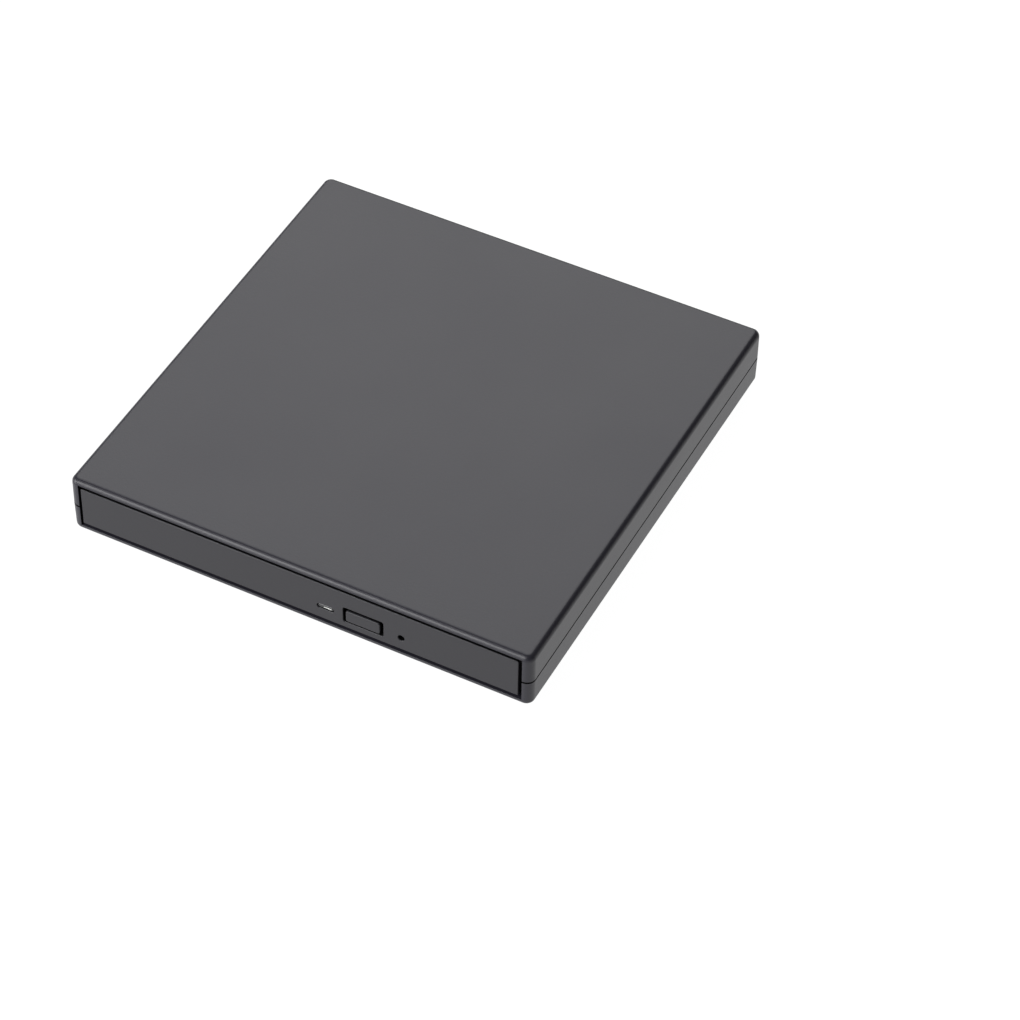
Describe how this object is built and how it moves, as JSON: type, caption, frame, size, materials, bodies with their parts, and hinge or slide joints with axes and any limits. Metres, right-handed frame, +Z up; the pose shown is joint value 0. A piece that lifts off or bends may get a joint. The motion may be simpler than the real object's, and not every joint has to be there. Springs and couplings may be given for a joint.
{
  "type": "external optical drive",
  "caption": "Flat square tray-loading disc drive in a two-part charcoal case, with an eject button, status light and release hole in front and power and data sockets behind.",
  "frame": {"origin": "on the surface the feet stand on, under the centre of the case", "axes": "+X to the right seen from the front, +Y to the back, +Z up"},
  "size_m": [0.1352, 0.1372, 0.0195],
  "materials": {
    "shell_plastic": "fine-textured charcoal ABS",
    "bezel_plastic": "fine-textured darker charcoal ABS",
    "button_plastic": "smooth charcoal ABS",
    "tray_plastic": "textured near-black ABS",
    "rubber": "soft matte rubber",
    "label": "blank printed film",
    "chassis_steel": "zinc-plated sheet steel",
    "polished_steel": "ground steel",
    "dark_steel": "black zinc",
    "board": "solder-masked glass epoxy",
    "chip": "moulded epoxy",
    "white_plastic": "natural acetal",
    "black_plastic": "moulded black nylon",
    "lens_window": "frosted clear polycarbonate",
    "copper": "enamelled copper winding",
    "bronze": "sintered bronze",
    "ribbon": "polyester ribbon",
    "zinc": "die-cast zinc alloy",
    "amber_film": "polyimide film on spring steel",
    "objective": "coated moulded glass"
  },
  "bodies": {
    "case": {"upper_shell": "shell_plastic", "lower_shell": "shell_plastic", "rubber_feet": "rubber", "case_screws": "dark_steel", "drive_screws": "dark_steel", "rating_label": "label", "bridge_board": "board", "bridge_chips": "chip", "usb_socket_shell": "chassis_steel", "usb_socket_insert": "white_plastic", "dc_jack": "black_plastic", "dc_jack_pin": "polished_steel", "bridge_connector": "black_plastic", "drive_connector": "black_plastic", "chassis_base": "chassis_steel", "drive_top_cover": "chassis_steel", "left_guide": "white_plastic", "right_guide": "white_plastic", "drive_board": "board", "drive_chips": "chip", "board_cable_socket": "white_plastic", "latch_post": "chassis_steel"},
    "tray": {"tray": "tray_plastic", "tray_bottom_cover": "chassis_steel", "bezel": "bezel_plastic", "light_lens": "lens_window", "status_led": "lens_window", "switch_board": "board", "eject_switch": "black_plastic", "traverse_frame": "chassis_steel", "traverse_grommets": "rubber", "traverse_screws": "dark_steel", "guide_rods": "polished_steel", "rod_clamps": "black_plastic", "stepper_motor": "chassis_steel", "spindle_base": "board", "spindle_stator": "copper", "spindle_bearing": "bronze", "tray_board": "board", "latch_solenoid": "copper", "tray_cable": "ribbon", "ejector_spring": "chassis_steel"},
    "left_rail": {"left_rail": "chassis_steel"},
    "right_rail": {"right_rail": "chassis_steel"},
    "turntable": {"rotor_can": "chassis_steel", "turntable": "black_plastic", "turntable_pad": "rubber"},
    "claw_1": {"hub_claw_1": "black_plastic"},
    "claw_2": {"hub_claw_2": "black_plastic"},
    "claw_3": {"hub_claw_3": "black_plastic"},
    "pickup": {"pickup_body": "zinc", "pickup_cover": "amber_film", "sled_nut": "white_plastic"},
    "actuator": {"lens_holder": "black_plastic", "objective_lens": "objective"},
    "lead_screw": {"lead_screw": "polished_steel"},
    "eject_button": {"eject_button": "button_plastic"},
    "latch_lever": {"latch_lever": "white_plastic"},
    "solenoid_plunger": {"solenoid_plunger": "chassis_steel"},
    "ejector": {"ejector_plunger": "white_plastic"}
  },
  "joints": [
    {"name": "tray_slide", "type": "slide", "parent": "case", "child": "tray", "axis": [0, -1, 0], "range_m": [0, 0.126], "deforming": ["tray_cable"]},
    {"name": "left_rail_slide", "type": "slide", "parent": "case", "child": "left_rail", "axis": [0, -1, 0], "range_m": [0, 0.064]},
    {"name": "right_rail_slide", "type": "slide", "parent": "case", "child": "right_rail", "axis": [0, -1, 0], "range_m": [0, 0.064]},
    {"name": "spindle_spin", "type": "hinge", "parent": "tray", "child": "turntable", "pos_m": [0, -0.0041, 0.012], "axis": [0, 0, 1], "continuous": true},
    {"name": "claw_1_press", "type": "slide", "parent": "turntable", "child": "claw_1", "axis": [-0.866, -0.5, 0], "range_m": [0, 0.0005], "stiffness_N_per_m": 400},
    {"name": "claw_2_press", "type": "slide", "parent": "turntable", "child": "claw_2", "axis": [0.866, -0.5, 0], "range_m": [0, 0.0005], "stiffness_N_per_m": 400},
    {"name": "claw_3_press", "type": "slide", "parent": "turntable", "child": "claw_3", "axis": [0, 1, 0], "range_m": [0, 0.0005], "stiffness_N_per_m": 400},
    {"name": "pickup_slide", "type": "slide", "parent": "tray", "child": "pickup", "axis": [-0.6428, -0.766, 0], "range_m": [0, 0.033]},
    {"name": "lens_focus", "type": "slide", "parent": "pickup", "child": "actuator", "axis": [0, 0, 1], "range_m": [-0.0003, 0.0003], "stiffness_N_per_m": 120},
    {"name": "lead_screw_spin", "type": "hinge", "parent": "tray", "child": "lead_screw", "pos_m": [-0.03499, -0.0139, 0.0086], "axis": [-0.6428, -0.766, 0], "continuous": true},
    {"name": "eject_button_press", "type": "slide", "parent": "tray", "child": "eject_button", "axis": [0, 1, 0], "range_m": [0, 0.0007], "stiffness_N_per_m": 600},
    {"name": "latch_release", "type": "hinge", "parent": "tray", "child": "latch_lever", "pos_m": [0.054, -0.0611, 0.006], "axis": [0, 0, -1], "range_deg": [0, 8.5]},
    {"name": "solenoid_pull", "type": "slide", "parent": "tray", "child": "solenoid_plunger", "axis": [0, 1, 0], "range_m": [0, 0.00237], "stiffness_N_per_m": 60},
    {"name": "ejector_push", "type": "slide", "parent": "tray", "child": "ejector", "axis": [0, 1, 0], "range_m": [0, 0.01], "deforming": ["ejector_spring"]}
  ],
  "couplings": [
    {"joint": "left_rail_slide", "follows": "tray_slide", "ratio": 0.5},
    {"joint": "right_rail_slide", "follows": "tray_slide", "ratio": 0.5},
    {"joint": "ejector_push", "follows": "tray_slide", "ratio": 0.079},
    {"joint": "lead_screw_spin", "follows": "pickup_slide", "rad_per_m": 2094.4},
    {"joint": "latch_release", "follows": "solenoid_pull", "rad_per_m": 58.824}
  ]
}
